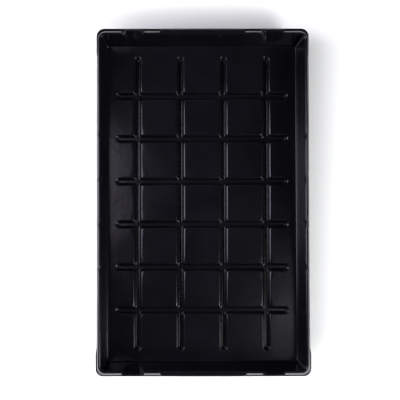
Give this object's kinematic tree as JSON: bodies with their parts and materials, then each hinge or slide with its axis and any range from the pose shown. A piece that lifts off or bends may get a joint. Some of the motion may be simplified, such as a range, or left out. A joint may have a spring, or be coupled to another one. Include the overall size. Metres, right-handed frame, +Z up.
{
  "type": "flat seed tray",
  "caption": "Shallow rectangular carrier tray formed from one thin sheet, with a grooved floor, leaning walls, stacking pockets in the ends and a narrow turned-down rim.",
  "frame": {"origin": "on the ground, under the middle of the tray", "axes": "+X to the right across the tray, +Y to the back along its length, +Z up"},
  "size_m": [0.2374, 0.386, 0.0575],
  "materials": {
    "black_sheet": "satin, vacuum formed"
  },
  "bodies": {
    "root": {"floor_panel": "black_sheet", "side_wall_left": "black_sheet", "side_wall_right": "black_sheet", "end_wall_front": "black_sheet", "end_wall_back": "black_sheet", "wall_corner_front_left": "black_sheet", "wall_corner_front_right": "black_sheet", "wall_corner_back_left": "black_sheet", "wall_corner_back_right": "black_sheet", "side_rim_left": "black_sheet", "side_rim_right": "black_sheet", "end_rim_front": "black_sheet", "end_rim_back": "black_sheet", "rim_corner_front_left": "black_sheet", "rim_corner_front_right": "black_sheet", "rim_corner_back_left": "black_sheet", "rim_corner_back_right": "black_sheet"}
  },
  "joints": []
}
